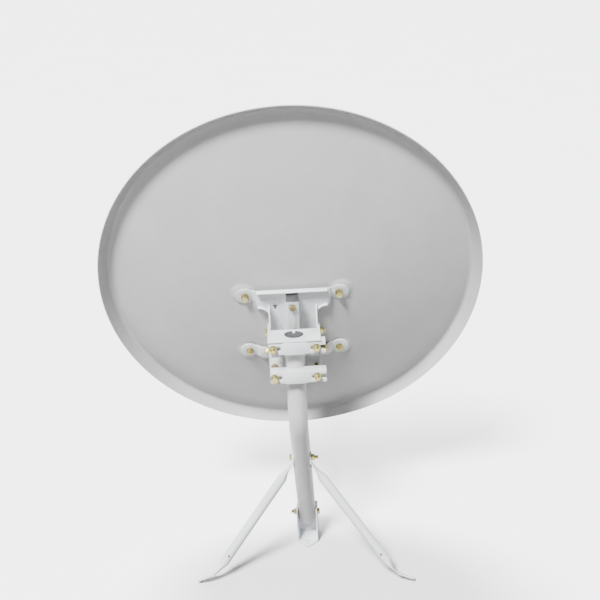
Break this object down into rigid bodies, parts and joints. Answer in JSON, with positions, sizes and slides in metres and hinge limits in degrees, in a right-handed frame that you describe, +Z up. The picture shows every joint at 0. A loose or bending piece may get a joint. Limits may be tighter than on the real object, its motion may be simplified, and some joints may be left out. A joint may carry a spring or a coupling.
{
  "type": "offset satellite dish",
  "caption": "Offset parabolic reflector on a tilting bracket, clamped to a bent mast with a hinged foot and folding stay legs, with a feed arm and feed clamp.",
  "frame": {"origin": "centre of the anchor hole, on the underside of the foot plate, which is the floor", "axes": "+Z up, +Y the way the dish faces when its swivel is at zero (it is stored swivelled 3.9 degrees), +X to the right seen from behind"},
  "size_m": [0.7869, 0.7144, 1.0498],
  "materials": {
    "dish_paint": "satin light grey powder coat on steel sheet",
    "bracket_paint": "semi-gloss white-grey powder coat on steel",
    "mast_paint": "satin grey powder coat on steel tube",
    "yellow_zinc": "yellow passivated zinc plating",
    "black_plastic": "matt moulded plastic",
    "holder_plastic": "matt moulded glass-filled plastic"
  },
  "bodies": {
    "foot": {"foot_bracket": "bracket_paint"},
    "mast": {"mast_tube": "mast_paint", "mast_cap": "black_plastic", "leg_bolt": "yellow_zinc", "leg_nut": "yellow_zinc", "foot_bolt": "yellow_zinc", "foot_nut": "yellow_zinc"},
    "azimuth_head": {"azimuth_bracket": "bracket_paint", "upper_clamp_jaw": "bracket_paint", "lower_clamp_jaw": "bracket_paint", "pivot_bolt": "yellow_zinc", "pivot_nut": "yellow_zinc", "clamp_bolt_upper_left": "yellow_zinc", "clamp_bolt_upper_right": "yellow_zinc", "clamp_bolt_lower_left": "yellow_zinc", "clamp_bolt_lower_right": "yellow_zinc", "clamp_washer_upper_left": "yellow_zinc", "clamp_washer_upper_right": "yellow_zinc", "clamp_washer_lower_left": "yellow_zinc", "clamp_washer_lower_right": "yellow_zinc", "clamp_nut_upper_left": "yellow_zinc", "clamp_nut_upper_right": "yellow_zinc", "clamp_nut_lower_left": "yellow_zinc", "clamp_nut_lower_right": "yellow_zinc"},
    "dish": {"reflector": "dish_paint", "rear_bracket": "bracket_paint", "lock_bolt": "yellow_zinc", "lock_nut": "yellow_zinc", "lock_washer_left": "yellow_zinc", "lock_washer_right": "yellow_zinc", "arm_tube": "bracket_paint", "arm_cap": "black_plastic", "arm_bolt_upper": "yellow_zinc", "arm_bolt_lower": "yellow_zinc", "feed_holder": "holder_plastic", "holder_strap": "holder_plastic", "arm_screw": "yellow_zinc", "arm_screw_nut": "yellow_zinc", "reflector_bolt_upper_left": "yellow_zinc", "reflector_bolt_upper_right": "yellow_zinc", "reflector_bolt_lower_left": "yellow_zinc", "reflector_bolt_lower_right": "yellow_zinc", "reflector_washer_upper_left": "yellow_zinc", "reflector_washer_upper_right": "yellow_zinc", "reflector_washer_lower_left": "yellow_zinc", "reflector_washer_lower_right": "yellow_zinc", "reflector_nut_upper_left": "yellow_zinc", "reflector_nut_upper_right": "yellow_zinc", "reflector_nut_lower_left": "yellow_zinc", "reflector_nut_lower_right": "yellow_zinc", "holder_screw_left": "yellow_zinc", "holder_screw_right": "yellow_zinc", "holder_nut_left": "yellow_zinc", "holder_nut_right": "yellow_zinc"},
    "left_leg": {"left_leg": "bracket_paint"},
    "right_leg": {"right_leg": "bracket_paint"}
  },
  "joints": [
    {"name": "foot_hinge", "type": "hinge", "parent": "foot", "child": "mast", "pos_m": [0, 0.015, 0.0738], "axis": [1, 0, 0], "range_deg": [-25, 40]},
    {"name": "azimuth_swivel", "type": "hinge", "parent": "mast", "child": "azimuth_head", "pos_m": [0, -0.12894, 0.58249], "axis": [0, 0, 1], "continuous": true},
    {"name": "elevation_tilt", "type": "hinge", "parent": "azimuth_head", "child": "dish", "pos_m": [-0.00306, -0.08405, 0.57109], "axis": [0.9977, 0.068, 0], "range_deg": [-11, 22]},
    {"name": "left_leg_hinge", "type": "hinge", "parent": "mast", "child": "left_leg", "pos_m": [0, -0.07793, 0.2731], "axis": [1, 0, 0], "range_deg": [-30, 35]},
    {"name": "right_leg_hinge", "type": "hinge", "parent": "mast", "child": "right_leg", "pos_m": [0, -0.07793, 0.2731], "axis": [1, 0, 0], "range_deg": [-30, 35]}
  ]
}
